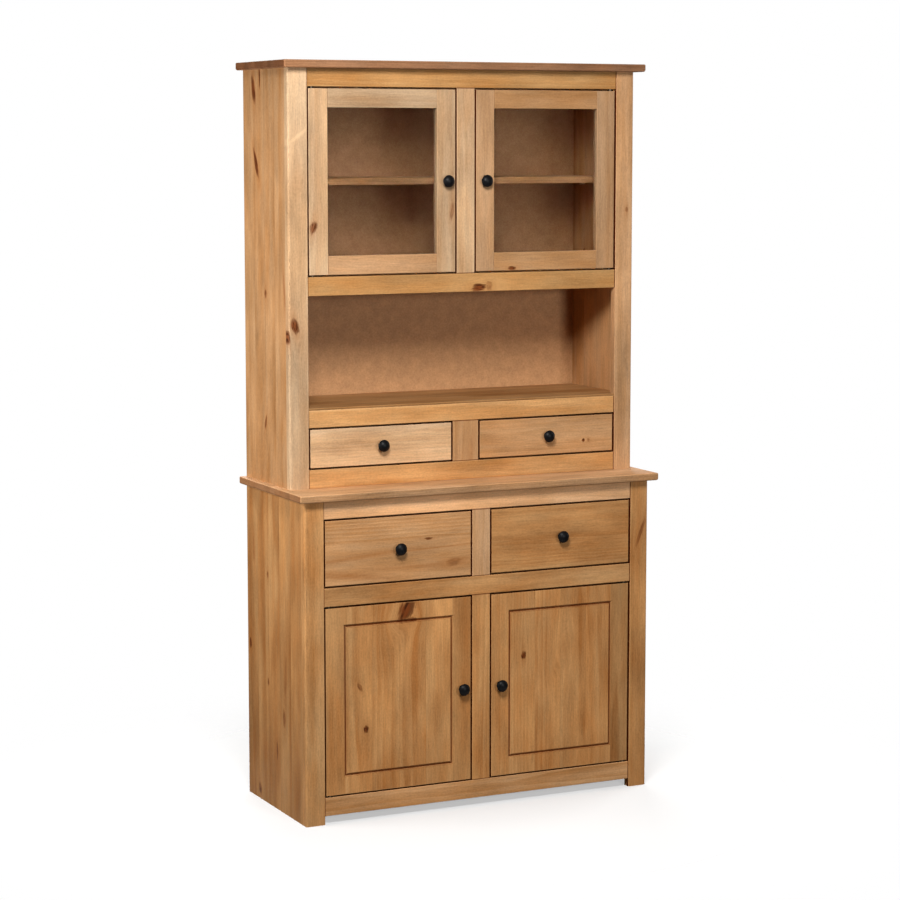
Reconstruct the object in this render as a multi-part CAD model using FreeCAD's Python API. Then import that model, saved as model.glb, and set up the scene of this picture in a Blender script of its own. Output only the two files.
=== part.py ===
import FreeCAD, Part
import math
import os
from FreeCAD import Vector

# Two-part pine dresser: a base cupboard and a glazed hutch that stands on it.
# X runs to the right, the front faces -Y, Z runs up and the floor is at Z = 0.
# All sizes are in millimetres.

# Overall size
top_width = 945.0
side_overhang = 18.5
top_thickness = 18.0
base_height = 781.0
base_body_depth = 365.0
base_front_overhang = 21.0
hutch_height = 990.0
hutch_body_depth = 280.0
hutch_front_overhang = 27.0

# Boards
side_thickness = 16.0
board_thickness = 16.0
back_thickness = 4.0
back_rebate = 7.0

# Rounded edges
top_upper_radius = 3.0
top_lower_radius = 5.0
top_corner_radius = 4.0
body_corner_radius = 5.0
eased_edge_radius = 1.5

# Face frames
stile_width = 48.0
stile_thickness = 20.0
rail_setback = 2.0
divider_width = 47.0
drawer_divider_width = 68.0
front_gap = 4.0

# Base front, from the floor up
foot_height = 20.0
base_bottom_rail_height = 44.0
base_middle_rail_height = 44.0
base_drawer_height = 153.0
base_top_rail_height = 43.0

# Hutch front, from the base top up
hutch_bottom_rail_height = 44.0
hutch_drawer_height = 90.0
niche_rail_height = 41.0
niche_lip = 5.0
niche_height = 261.0
hutch_door_rail_height = 44.0
hutch_top_rail_height = 42.0

# Shelves and their pegs
shelf_setback = 24.0
shelf_side_clearance = 0.5
shelf_peg_clearance = 0.2
peg_radius = 4.0
peg_depth = 11.0
peg_hole_clearance = 0.05
peg_end_clearance = 0.5
peg_edge_distance = 55.0

# Doors
door_thickness = 18.0
door_stile_width = 48.0
door_rail_height = 44.0
glass_front_lip = 11.0
glass_thickness = 3.0
glass_rebate = 6.0
glass_clearance = 0.5
groove_side_distance = 50.0
groove_end_distance = 45.0
groove_width = 9.0
groove_floor_width = 2.0
groove_depth = 3.5

# Pivot hinges at the top and bottom edge of each door
pivot_edge_distance = 10.0
pivot_face_distance = 6.0
pivot_pin_radius = 2.5
pivot_pin_clearance = 0.05
pivot_pin_engagement = 12.0
pivot_hole_clearance = 0.4
pivot_collar_radius = 4.5
pivot_collar_clearance = 0.2
pivot_plate_length = 26.0
pivot_plate_width = 10.0
pivot_plate_thickness = 2.0
pivot_plate_end_distance = 2.0

# Drawers and the battens that they run on
drawer_front_thickness = 18.0
drawer_side_thickness = 12.0
drawer_side_inset = 5.0
drawer_bottom_inset = 11.0
drawer_top_inset = 14.0
drawer_back_clearance = 15.0
drawer_panel_thickness = 4.0
drawer_panel_rise = 8.0
drawer_panel_tongue = 5.0
runner_height = 14.0
runner_engagement = 5.5
runner_side_clearance = 0.5
runner_top_clearance = 0.2
runner_bottom_clearance = 0.6

# Knobs, each held by a screw from behind
knob_radius = 14.5
knob_projection = 22.5
knob_neck_radius = 6.0
knob_neck_low = 5.0
knob_neck_high = 9.0
knob_foot_radius = 9.0
knob_foot_height = 2.5
knob_rim_height = 13.5
knob_rim_radius = 3.0
knob_edge_distance = 23.0
knob_screw_radius = 2.0
knob_screw_clearance = 0.05
knob_screw_depth = 10.0
knob_screw_end_clearance = 1.0
screw_head_radius = 4.0
screw_head_height = 2.4

# Planes that the pieces share
half_top = top_width / 2
half_body = half_top - side_overhang
half_inside = half_body - side_thickness
half_opening = half_body - stile_width
base_top_depth = base_body_depth + base_front_overhang
back_y = base_top_depth / 2
panel_y = back_y - back_thickness
base_face_y = back_y - base_body_depth
hutch_face_y = back_y - hutch_body_depth
base_ceiling = base_height - top_thickness
total_height = base_height + hutch_height
hutch_ceiling = total_height - top_thickness

# Heights of the base openings
base_door_sill = foot_height + base_bottom_rail_height
base_top_rail_low = base_ceiling - base_top_rail_height
base_drawer_sill = base_top_rail_low - base_drawer_height - 2 * front_gap
base_door_head = base_drawer_sill - base_middle_rail_height
base_shelf_low = (base_door_sill + base_door_head - board_thickness) / 2

# Heights of the hutch openings
hutch_drawer_sill = base_height + hutch_bottom_rail_height
niche_rail_low = hutch_drawer_sill + hutch_drawer_height + 2 * front_gap
niche_rail_top = niche_rail_low + niche_rail_height
niche_floor_top = niche_rail_top + niche_lip
niche_floor_low = niche_floor_top - board_thickness
hutch_door_rail_low = niche_floor_top + niche_height
hutch_door_sill = hutch_door_rail_low + hutch_door_rail_height
hutch_door_head = hutch_ceiling - hutch_top_rail_height
cabinet_shelf_low = (hutch_door_sill + hutch_door_head - board_thickness) / 2

# Two coordinates closer than this are the same place
snap = 0.01

os.makedirs("parts", exist_ok=True)


def block(x0, x1, y0, y1, z0, z1):
    """Square-edged board between three pairs of planes."""
    return Part.makeBox(x1 - x0, y1 - y0, z1 - z0, Vector(x0, y0, z0))


def rod(radius, start, direction, length):
    """Round bar from a point along a direction."""
    return Part.makeCylinder(radius, length, start, direction)


def fillet_where(shape, radius, wanted):
    """Round the straight edges whose two ends both meet a condition."""
    edges = []
    for edge in shape.Edges:
        ends = [vertex.Point for vertex in edge.Vertexes]
        if len(ends) == 2 and all(wanted(end) for end in ends):
            edges.append(edge)
    return shape.makeFillet(radius, edges)


def eased(board):
    """Take the sharpness off the edges round a board's front face."""
    front = board.BoundBox.YMin
    return fillet_where(board, eased_edge_radius, lambda p: abs(p.y - front) < snap)


def handed(shapes, hand):
    """Pieces drawn for the left side, mirrored for the right."""
    if hand == "left":
        return shapes
    return [shape.mirror(Vector(0, 0, 0), Vector(1, 0, 0)) for shape in shapes]


def save(node, shapes):
    """Write one node: a single piece, or a group of separate pieces."""
    shape = shapes[0] if len(shapes) == 1 else Part.makeCompound(shapes)
    shape.exportStep(f"parts/{node}.step")


def top_board(depth, low):
    """Overhanging top with rounded front corners and rounded edges on three sides."""
    front = back_y - depth
    board = block(-half_top, half_top, front, back_y, low, low + top_thickness)
    corner = lambda p: abs(p.y - front) < snap
    verticals = [e for e in board.Edges if all(corner(v.Point) for v in e.Vertexes)
                 and abs(e.Vertexes[0].Point.z - e.Vertexes[1].Point.z) > top_thickness / 2]
    board = board.makeFillet(top_corner_radius, verticals)
    for height, radius in ((low + top_thickness, top_upper_radius), (low, top_lower_radius)):
        rim = [e for e in board.Edges if abs(e.BoundBox.ZMin - height) < snap
               and abs(e.BoundBox.ZMax - height) < snap and e.BoundBox.YMin < back_y - snap]
        board = board.makeFillet(radius, rim)
    return board


def stile(face_y, low, high):
    """Left front post, with a rounded outer corner."""
    post = block(-half_body, -half_opening, face_y, face_y + stile_thickness, low, high)
    for edge_x, radius in ((-half_body, body_corner_radius), (-half_opening, eased_edge_radius)):
        post = fillet_where(post, radius, lambda p: abs(p.y - face_y) < snap and abs(p.x - edge_x) < snap)
    return post


def rail(face_y, low, high):
    """Cross rail between the two stiles."""
    board = block(-half_opening, half_opening, face_y + rail_setback, face_y + stile_thickness, low, high)
    return eased(board)


def divider(face_y, width, low, high):
    """Short upright on the centre line, between two rails."""
    board = block(-width / 2, width / 2, face_y + rail_setback, face_y + stile_thickness, low, high)
    return eased(board)


def peg_places(face_y):
    """Front and back positions of the pegs in a side panel."""
    return (face_y + stile_thickness + peg_edge_distance, panel_y - peg_edge_distance)


def shelf_peg_line(shelf_low):
    """Height of the pegs under a shelf."""
    return shelf_low - shelf_peg_clearance - peg_radius


def side(face_y, low, high, shelf_low):
    """Left side panel: rebated for the back panel and bored for the shelf pegs."""
    panel = block(-half_body, -half_inside, face_y + stile_thickness, back_y, low, high)
    panel = panel.cut(block(-half_inside - back_rebate, -half_inside, panel_y, back_y, low, high))
    for y in peg_places(face_y):
        start = Vector(-half_inside - peg_depth - peg_end_clearance, y, shelf_peg_line(shelf_low))
        hole = rod(peg_radius + peg_hole_clearance, start, Vector(1, 0, 0), peg_depth + peg_end_clearance)
        panel = panel.cut(hole)
    return panel


def inner_board(face_y, low):
    """Fixed board across the whole inside of a carcass."""
    return block(-half_inside, half_inside, face_y + stile_thickness, panel_y, low, low + board_thickness)


def shelf(face_y, low):
    """Loose shelf that lies on four pegs."""
    reach = half_inside - shelf_side_clearance
    front = face_y + stile_thickness + shelf_setback
    return eased(block(-reach, reach, front, panel_y, low, low + board_thickness))


def back_panel(low, high):
    """Hardboard back, let into the rebates of the sides."""
    reach = half_inside + back_rebate
    return block(-reach, reach, panel_y, back_y, low, high)


def locating_holes(low, depth):
    """Upright peg holes at the four places where the hutch stands on the base."""
    centre_x = half_body - side_thickness / 2
    places = [Vector(x, y, low) for x in (-centre_x, centre_x) for y in peg_places(hutch_face_y)]
    return [rod(peg_radius + peg_hole_clearance, place, Vector(0, 0, 1), depth) for place in places]


def pegs():
    """Wooden pegs: four locate the hutch and four carry each shelf."""
    group = []
    for x in (-1, 1):
        for y in peg_places(hutch_face_y):
            start = Vector(x * (half_body - side_thickness / 2), y, base_height - peg_depth)
            group.append(rod(peg_radius, start, Vector(0, 0, 1), 2 * peg_depth))
        for face_y, shelf_low in ((base_face_y, base_shelf_low), (hutch_face_y, cabinet_shelf_low)):
            for y in peg_places(face_y):
                start = Vector(x * (half_inside + peg_depth), y, shelf_peg_line(shelf_low))
                group.append(rod(peg_radius, start, Vector(-x, 0, 0), 2 * peg_depth))
    return group


class DoorPlace:
    """Edges of a left door and the line that it turns about."""

    def __init__(self, face_y, sill, head):
        self.sill = sill
        self.head = head
        self.left = -half_opening + front_gap
        self.right = -divider_width / 2 - front_gap
        self.low = sill + front_gap
        self.high = head - front_gap
        self.front = face_y + rail_setback
        self.back = self.front + door_thickness
        self.pivot_x = self.left + pivot_edge_distance
        self.pivot_y = self.front + pivot_face_distance
        self.knob = Vector(self.right - knob_edge_distance, self.front, (self.low + self.high) / 2)


base_door = DoorPlace(base_face_y, base_door_sill, base_door_head)
hutch_door = DoorPlace(hutch_face_y, hutch_door_sill, hutch_door_head)


def pivot_plate(place, low):
    """Flat steel plate of a pivot, its lower face at a given height."""
    start_x = place.left + pivot_plate_end_distance
    half_width = pivot_plate_width / 2
    return block(start_x, start_x + pivot_plate_length, place.pivot_y - half_width,
                 place.pivot_y + half_width, low, low + pivot_plate_thickness)


def frame_pivots(place):
    """Plates let into the rails, each with a collar and a pin that enters the door."""
    centre = Vector(place.pivot_x, place.pivot_y, 0)
    collar = front_gap - pivot_collar_clearance
    reach = front_gap + pivot_pin_engagement
    group = []
    for surface, up in ((place.sill, 1), (place.head, -1)):
        plate_low = surface - pivot_plate_thickness if up > 0 else surface
        start = centre + Vector(0, 0, surface)
        direction = Vector(0, 0, up)
        pivot = pivot_plate(place, plate_low)
        pivot = pivot.fuse(rod(pivot_collar_radius, start, direction, collar))
        pivot = pivot.fuse(rod(pivot_pin_radius, start, direction, reach))
        group.append(pivot.removeSplitter())
    return group


def door_plates(place):
    """Plates let into the door's bottom and top edge, bored for the pins."""
    hole = rod(pivot_pin_radius + pivot_pin_clearance, Vector(place.pivot_x, place.pivot_y, place.low),
               Vector(0, 0, 1), place.high - place.low)
    lows = (place.low, place.high - pivot_plate_thickness)
    return [pivot_plate(place, low).cut(hole) for low in lows]


def rail_pockets(place):
    """Recesses for the pivot plates in the rails under and over a pair of doors."""
    group = []
    for low in (place.sill - pivot_plate_thickness, place.head):
        group.extend(handed([pivot_plate(place, low)], "left"))
        group.extend(handed([pivot_plate(place, low)], "right"))
    return group


def door_recesses(place):
    """Recesses for the plates and pins in a door's edges, and its knob screw hole."""
    depth = pivot_pin_engagement + pivot_hole_clearance
    radius = pivot_pin_radius + pivot_hole_clearance
    group = [pivot_plate(place, place.low), pivot_plate(place, place.high - pivot_plate_thickness)]
    group.append(rod(radius, Vector(place.pivot_x, place.pivot_y, place.low), Vector(0, 0, 1), depth))
    group.append(rod(radius, Vector(place.pivot_x, place.pivot_y, place.high), Vector(0, 0, -1), depth))
    group.append(screw_hole(place.knob, door_thickness))
    return group


def screw_hole(knob, thickness):
    """Hole for a knob screw through a door or drawer front."""
    return rod(knob_screw_radius + knob_screw_clearance, knob, Vector(0, 1, 0), thickness)


def knob_body():
    """Turned mushroom knob on the Z axis, with a blind bore for its screw."""
    ring = knob_radius - knob_rim_radius
    rise = knob_projection - knob_rim_height
    dome_radius = (ring ** 2 + rise ** 2 - knob_rim_radius ** 2) / (2 * (rise - knob_rim_radius))
    centre = Vector(0, 0, knob_projection - dome_radius)
    rim_centre = Vector(ring, 0, knob_rim_height)
    outward = (rim_centre - centre).normalize()
    seam = centre + outward * dome_radius
    crown = Vector(0, 0, knob_projection)
    dome = centre + (outward + Vector(0, 0, 1)).normalize() * dome_radius
    corners = [Vector(0, 0, 0), Vector(knob_foot_radius, 0, 0), Vector(knob_foot_radius, 0, knob_foot_height),
               Vector(knob_neck_radius, 0, knob_neck_low), Vector(knob_neck_radius, 0, knob_neck_high),
               rim_centre - Vector(0, 0, knob_rim_radius)]
    edges = [Part.LineSegment(corners[i], corners[i + 1]) for i in range(len(corners) - 1)]
    edges.append(Part.Arc(corners[-1], rim_centre + Vector(knob_rim_radius, 0, 0), seam))
    edges.append(Part.Arc(seam, dome, crown))
    edges.append(Part.LineSegment(crown, corners[0]))
    profile = Part.Face(Part.Wire([edge.toShape() for edge in edges]))
    body = profile.revolve(Vector(0, 0, 0), Vector(0, 0, 1), 360)
    bore = rod(knob_screw_radius + knob_screw_clearance, Vector(0, 0, 0), Vector(0, 0, 1),
               knob_screw_depth + knob_screw_end_clearance)
    return body.cut(bore)


def knob_and_screw(knob, thickness):
    """Knob standing on a front, and the screw that holds it from behind."""
    inward = Vector(0, 0, -1)
    screw = rod(knob_screw_radius, Vector(0, 0, knob_screw_depth), inward, knob_screw_depth + thickness)
    screw = screw.fuse(rod(screw_head_radius, Vector(0, 0, -thickness), inward, screw_head_height))
    pieces = [knob_body(), screw.removeSplitter()]
    for piece in pieces:
        piece.rotate(Vector(0, 0, 0), Vector(1, 0, 0), 90)
        piece.translate(knob)
    return pieces


def glass_door(place):
    """Left glazed door: four frame boards, the pane, and the beads behind it."""
    inner_left = place.left + door_stile_width
    inner_right = place.right - door_stile_width
    inner_low = place.low + door_rail_height
    inner_high = place.high - door_rail_height
    rebate = block(inner_left - glass_rebate, inner_right + glass_rebate, place.front + glass_front_lip,
                   place.back, inner_low - glass_rebate, inner_high + glass_rebate)
    boards = [block(place.left, inner_left, place.front, place.back, place.low, place.high),
              block(inner_right, place.right, place.front, place.back, place.low, place.high),
              block(inner_left, inner_right, place.front, place.back, place.low, inner_low),
              block(inner_left, inner_right, place.front, place.back, inner_high, place.high)]
    cuts = [rebate] + door_recesses(place)
    frame = [eased(board).cut(cuts) for board in boards]
    slack = glass_rebate - glass_clearance
    pane_back = place.front + glass_front_lip + glass_thickness
    pane = block(inner_left - slack, inner_right + slack, place.front + glass_front_lip, pane_back,
                 inner_low - slack, inner_high + slack)
    outer_left = inner_left - glass_rebate
    outer_right = inner_right + glass_rebate
    beads = [block(outer_left, inner_left, pane_back, place.back, inner_low, inner_high),
             block(inner_right, outer_right, pane_back, place.back, inner_low, inner_high),
             block(outer_left, outer_right, pane_back, place.back, inner_low - glass_rebate, inner_low),
             block(outer_left, outer_right, pane_back, place.back, inner_high, inner_high + glass_rebate)]
    return frame, pane, beads


def taper(centre_half, floor_half, surface_half, low, high, front):
    """Block with four sloping sides, from the door face down to the groove's floor."""
    wires = []
    for half, depth in ((surface_half, 0.0), (floor_half, groove_depth)):
        reach_x = centre_half + half
        corners = [Vector(-reach_x, front + depth, low - half), Vector(reach_x, front + depth, low - half),
                   Vector(reach_x, front + depth, high + half), Vector(-reach_x, front + depth, high + half)]
        wires.append(Part.makePolygon(corners + corners[:1]))
    return Part.makeLoft(wires, True, True)


def panel_door(place):
    """Left solid door: a wide centre board between two outer boards, grooved like a panel."""
    edge_left = place.left + door_stile_width
    edge_right = place.right - door_stile_width
    centre_x = (place.left + place.right) / 2
    half_width = (place.right - place.left) / 2 - groove_side_distance
    low = place.low + groove_end_distance
    high = place.high - groove_end_distance
    surface = groove_width / 2
    floor = groove_floor_width / 2
    groove = taper(half_width, floor, surface, low, high, place.front)
    groove = groove.cut(taper(half_width, -floor, -surface, low, high, place.front))
    groove.translate(Vector(centre_x, 0, 0))
    edges = (place.left, edge_left, edge_right, place.right)
    boards = [block(edges[i], edges[i + 1], place.front, place.back, place.low, place.high) for i in range(3)]
    glued = (edge_left, edge_right)
    rim = lambda p: abs(p.y - place.front) < snap and all(abs(p.x - x) > snap for x in glued)
    outer = [fillet_where(boards[0], eased_edge_radius, rim), boards[1],
             fillet_where(boards[2], eased_edge_radius, rim)]
    return [board.cut([groove] + door_recesses(place)) for board in outer]


class DrawerPlace:
    """Edges of a left drawer front and of the box behind it."""

    def __init__(self, face_y, sill, height, centre_width):
        self.left = -half_opening + front_gap
        self.right = -centre_width / 2 - front_gap
        self.low = sill + front_gap
        self.high = self.low + height
        self.front = face_y + rail_setback
        self.front_back = self.front + drawer_front_thickness
        self.box_left = self.left + drawer_side_inset
        self.box_right = self.right - drawer_side_inset
        self.box_low = self.low + drawer_bottom_inset
        self.box_high = self.high - drawer_top_inset
        self.box_back = panel_y - drawer_back_clearance
        self.runner_front = face_y + stile_thickness
        self.runner_low = (self.low + self.high - runner_height) / 2
        self.knob = Vector((self.left + self.right) / 2, self.front, (self.low + self.high) / 2)


base_drawer = DrawerPlace(base_face_y, base_drawer_sill, base_drawer_height, divider_width)
hutch_drawer = DrawerPlace(hutch_face_y, hutch_drawer_sill, hutch_drawer_height, drawer_divider_width)


def drawer_front(place):
    """Left drawer front, bored for its knob screw."""
    board = block(place.left, place.right, place.front, place.front_back, place.low, place.high)
    return eased(board).cut(screw_hole(place.knob, drawer_front_thickness))


def drawer_box(place):
    """Left drawer box: two grooved sides, a back, and a thin bottom in the side grooves."""
    inner_left = place.box_left + drawer_side_thickness
    inner_right = place.box_right - drawer_side_thickness
    panel_low = place.box_low + drawer_panel_rise
    panel_high = panel_low + drawer_panel_thickness
    bottom = block(inner_left - drawer_panel_tongue, inner_right + drawer_panel_tongue, place.front_back,
                   place.box_back, panel_low, panel_high)
    groove_low = place.runner_low - runner_bottom_clearance
    groove_high = place.runner_low + runner_height + runner_top_clearance
    depth = runner_engagement + runner_side_clearance
    sides = []
    for outer, inner, inward in ((place.box_left, inner_left, 1), (place.box_right, inner_right, -1)):
        board = block(min(outer, inner), max(outer, inner), place.front_back, place.box_back,
                      place.box_low, place.box_high)
        groove_end = outer + inward * depth
        groove = block(min(outer, groove_end), max(outer, groove_end), place.front_back, place.box_back,
                       groove_low, groove_high)
        sides.append(board.cut([groove, bottom]))
    back = block(inner_left, inner_right, place.box_back - drawer_side_thickness, place.box_back,
                 panel_high, place.box_high)
    return sides + [back, bottom]


def runners(place):
    """Battens on the side panel and on the partition that carry the left drawer."""
    spans = ((-half_inside, place.box_left + runner_engagement),
             (place.box_right - runner_engagement, -board_thickness / 2))
    return [block(x0, x1, place.runner_front, panel_y, place.runner_low, place.runner_low + runner_height)
            for x0, x1 in spans]


def partition(face_y, low, high):
    """Upright board on the centre line behind a drawer divider."""
    half = board_thickness / 2
    return block(-half, half, face_y + stile_thickness, panel_y, low, high)


def niche_floor():
    """Board under the niche, with a thin lip over the rail in front of it."""
    board = inner_board(hutch_face_y, niche_floor_low)
    lip = block(-half_opening, half_opening, hutch_face_y + rail_setback, hutch_face_y + stile_thickness,
                niche_rail_top, niche_floor_top)
    return board.fuse(eased(lip)).removeSplitter()


# Base carcass
base_pockets = rail_pockets(base_door)
base_holes = locating_holes(base_height - peg_depth - peg_end_clearance, top_thickness)
save("base_top", [top_board(base_top_depth, base_ceiling).cut(base_holes)])
for hand in ("left", "right"):
    save(f"base_side_{hand}", handed([side(base_face_y, 0, base_ceiling, base_shelf_low)], hand))
    save(f"base_stile_{hand}", handed([stile(base_face_y, 0, base_ceiling)], hand))
save("base_bottom_rail", [rail(base_face_y, foot_height, base_door_sill).cut(base_pockets)])
save("base_middle_rail", [rail(base_face_y, base_door_head, base_drawer_sill).cut(base_pockets)])
save("base_top_rail", [rail(base_face_y, base_top_rail_low, base_ceiling)])
save("base_door_divider", [divider(base_face_y, divider_width, base_door_sill, base_door_head)])
save("base_drawer_divider", [divider(base_face_y, divider_width, base_drawer_sill, base_top_rail_low)])
save("base_floor", [inner_board(base_face_y, base_door_sill - board_thickness)])
save("base_shelf", [shelf(base_face_y, base_shelf_low)])
save("base_back", [back_panel(base_door_sill - board_thickness, base_ceiling)])

# Hutch carcass
hutch_pockets = rail_pockets(hutch_door)
hutch_holes = locating_holes(base_height, peg_depth + peg_end_clearance)
save("hutch_top", [top_board(hutch_body_depth + hutch_front_overhang, hutch_ceiling)])
for hand in ("left", "right"):
    panel = handed([side(hutch_face_y, base_height, hutch_ceiling, cabinet_shelf_low)], hand)[0]
    save(f"hutch_side_{hand}", [panel.cut(hutch_holes)])
    save(f"hutch_stile_{hand}", handed([stile(hutch_face_y, base_height, hutch_ceiling)], hand))
save("hutch_bottom_rail", [rail(hutch_face_y, base_height, hutch_drawer_sill)])
save("niche_rail", [rail(hutch_face_y, niche_rail_low, niche_rail_top)])
save("hutch_door_rail", [rail(hutch_face_y, hutch_door_rail_low, hutch_door_sill).cut(hutch_pockets)])
save("hutch_top_rail", [rail(hutch_face_y, hutch_door_head, hutch_ceiling).cut(hutch_pockets)])
save("hutch_drawer_divider", [divider(hutch_face_y, drawer_divider_width, hutch_drawer_sill, niche_rail_low)])
save("hutch_door_mullion", [divider(hutch_face_y, divider_width, hutch_door_sill, hutch_door_head)])
save("niche_floor", [niche_floor()])
save("cabinet_floor", [inner_board(hutch_face_y, hutch_door_sill - board_thickness)])
save("cabinet_shelf", [shelf(hutch_face_y, cabinet_shelf_low)])
save("hutch_back", [back_panel(base_height, hutch_ceiling)])

# Pieces shared by base and hutch
save("drawer_partitions", [partition(base_face_y, base_door_head, base_ceiling),
                           partition(hutch_face_y, base_height, niche_floor_low)])
left_runners = runners(base_drawer) + runners(hutch_drawer)
save("drawer_runners", left_runners + handed(left_runners, "right"))
left_pivots = frame_pivots(base_door) + frame_pivots(hutch_door)
save("hinge_pivots", left_pivots + handed(left_pivots, "right"))
save("wooden_pegs", pegs())

# Doors
for hand in ("left", "right"):
    frame, pane, beads = glass_door(hutch_door)
    save(f"glass_door_{hand}_frame", handed(frame, hand))
    save(f"glass_door_{hand}_pane", handed([pane], hand))
    save(f"glass_door_{hand}_beads", handed(beads, hand))
    save(f"panel_door_{hand}_boards", handed(panel_door(base_door), hand))
    for name, place in (("glass_door", hutch_door), ("panel_door", base_door)):
        save(f"{name}_{hand}_hinge_plates", handed(door_plates(place), hand))
        save(f"{name}_{hand}_knob", handed(knob_and_screw(place.knob, door_thickness), hand))

# Drawers
for hand in ("left", "right"):
    for name, place in (("base_drawer", base_drawer), ("hutch_drawer", hutch_drawer)):
        save(f"{name}_{hand}_front", handed([drawer_front(place)], hand))
        save(f"{name}_{hand}_box", handed(drawer_box(place), hand))
        save(f"{name}_{hand}_knob", handed(knob_and_screw(place.knob, drawer_front_thickness), hand))
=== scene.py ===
"""Two-part pine dresser: finishes, nails, light and camera. Lengths are in metres."""
import math
import random
from collections import namedtuple

import bmesh
import bpy
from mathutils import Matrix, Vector


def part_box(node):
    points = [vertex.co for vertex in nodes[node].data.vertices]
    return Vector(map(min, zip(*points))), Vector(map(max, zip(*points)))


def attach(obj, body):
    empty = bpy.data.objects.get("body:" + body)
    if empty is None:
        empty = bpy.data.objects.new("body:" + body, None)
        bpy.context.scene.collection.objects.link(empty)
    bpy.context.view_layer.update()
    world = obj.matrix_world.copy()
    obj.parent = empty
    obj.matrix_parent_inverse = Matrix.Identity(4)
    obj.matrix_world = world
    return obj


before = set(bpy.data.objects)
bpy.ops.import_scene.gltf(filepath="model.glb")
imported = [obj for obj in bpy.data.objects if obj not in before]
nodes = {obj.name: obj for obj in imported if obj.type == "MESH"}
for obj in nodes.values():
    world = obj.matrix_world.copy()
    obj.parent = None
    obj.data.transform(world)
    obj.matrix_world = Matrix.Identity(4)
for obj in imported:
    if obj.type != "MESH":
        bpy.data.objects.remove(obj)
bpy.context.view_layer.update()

MM = 0.001
AXES = "XYZ"
WHITE = (1.0, 1.0, 1.0, 1.0)


# Node trees

class Wire:
    """A node's output that can be added and scaled like a number."""

    def __init__(self, graph, socket):
        self.graph = graph
        self.socket = socket

    def __add__(self, other):
        return self.graph.math("ADD", self, other)

    def __sub__(self, other):
        return self.graph.math("SUBTRACT", self, other)

    def __rsub__(self, other):
        return self.graph.math("SUBTRACT", other, self)

    def __mul__(self, other):
        return self.graph.math("MULTIPLY", self, other)

    def __truediv__(self, other):
        return self.graph.math("DIVIDE", self, other)

    def between(self, low, high):
        """From low to high as the wire goes from 0 to 1."""
        return self * (high - low) + low


class Graph:
    """Adds linked nodes to a node tree."""

    def __init__(self, tree):
        self.tree = tree

    def feed(self, socket, value):
        """Links a wire to a socket, or sets the socket to a constant."""
        if isinstance(value, Wire):
            self.tree.links.new(value.socket, socket)
        else:
            socket.default_value = value

    def node(self, kind, inputs=None, output=0, **settings):
        """One output of a new node, whose inputs are given by name or number."""
        made = self.tree.nodes.new("ShaderNode" + kind)
        for name, value in settings.items():
            setattr(made, name, value)
        for name, value in (inputs or {}).items():
            self.feed(made.inputs[name], value)
        return Wire(self, made.outputs[output])

    def math(self, operation, *values):
        return self.node("Math", dict(enumerate(values)), operation=operation)

    def larger(self, first, second):
        return self.math("MAXIMUM", first, second)

    def length(self, first, second):
        """The length of an arrow whose two parts are at right angles."""
        return self.math("SQRT", first * first + second * second)

    def vector_math(self, operation, *values):
        return self.node("VectorMath", dict(enumerate(values)), operation=operation)

    def split(self, vector):
        """The X, Y and Z parts of a vector."""
        made = self.tree.nodes.new("ShaderNodeSeparateXYZ")
        self.feed(made.inputs[0], vector)
        return [Wire(self, made.outputs[axis]) for axis in AXES]

    def place(self):
        """The point's three coordinates in the part's own frame."""
        return self.split(self.node("TexCoord", output="Object"))

    def facing(self):
        """The three parts of the surface's direction in the part's own frame."""
        return self.split(self.node("TexCoord", output="Normal"))

    def light_path(self, output):
        return self.node("LightPath", output=output)

    def rise(self, value, low, high):
        """0 below low, 1 above high and a smooth step between them."""
        inputs = {"Value": value, "From Min": low, "From Max": high}
        return self.node("MapRange", inputs, interpolation_type="SMOOTHSTEP")

    def fall(self, value, low, high):
        """1 below low, 0 above high and a smooth step between them."""
        return 1.0 - self.rise(value, low, high)

    def noise(self, x, y, z, detail=2.0):
        """Smooth noise around 0.5 at a point whose unit is one bump."""
        point = self.node("CombineXYZ", {"X": x, "Y": y, "Z": z})
        return self.node("TexNoise", {"Vector": point, "Scale": 1.0, "Detail": detail})

    def even_noise(self, place, bumps, detail=2.0):
        """Smooth noise around 0.5 with as many bumps per metre every way."""
        return self.noise(*(part * bumps for part in place), detail)

    def mix(self, share, first, second, blend="MIX"):
        """Two colours mixed. Sockets 6 and 7 and output 2 are the node's colour ones."""
        inputs = {0: share, 6: first, 7: second}
        return self.node("Mix", inputs, output=2, data_type="RGBA", blend_type=blend)

    def scale(self, colour, factor):
        return self.node("VectorMath", {0: colour, "Scale": factor}, operation="SCALE")

    def bump(self, height, depth, strength):
        return self.node("Bump", {"Height": height, "Distance": depth, "Strength": strength})


def new_group(name, inputs, outputs):
    """An empty node group, its graph, its input wires and its output node."""
    tree = bpy.data.node_groups.new(name, "ShaderNodeTree")
    for in_out, sockets in (("INPUT", inputs), ("OUTPUT", outputs)):
        for socket, kind in sockets.items():
            tree.interface.new_socket(name=socket, in_out=in_out, socket_type="NodeSocket" + kind)
    graph = Graph(tree)
    source = tree.nodes.new("NodeGroupInput")
    wires = {name: Wire(graph, source.outputs[name]) for name in inputs}
    return tree, graph, wires, tree.nodes.new("NodeGroupOutput")


def use_group(graph, tree, inputs):
    """A group node in graph, as a function from output names to wires."""
    made = graph.tree.nodes.new("ShaderNodeGroup")
    made.node_tree = tree
    for name, value in inputs.items():
        graph.feed(made.inputs[name], value)
    return lambda name: Wire(graph, made.outputs[name])


def floats(*names):
    return dict.fromkeys(names, "Float")


def new_material(name):
    """A material with one Principled shader, its graph and that shader's node."""
    material = bpy.data.materials.new(name)
    material.use_nodes = True
    shader = material.node_tree.nodes["Principled BSDF"]
    return material, Graph(material.node_tree), shader


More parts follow.
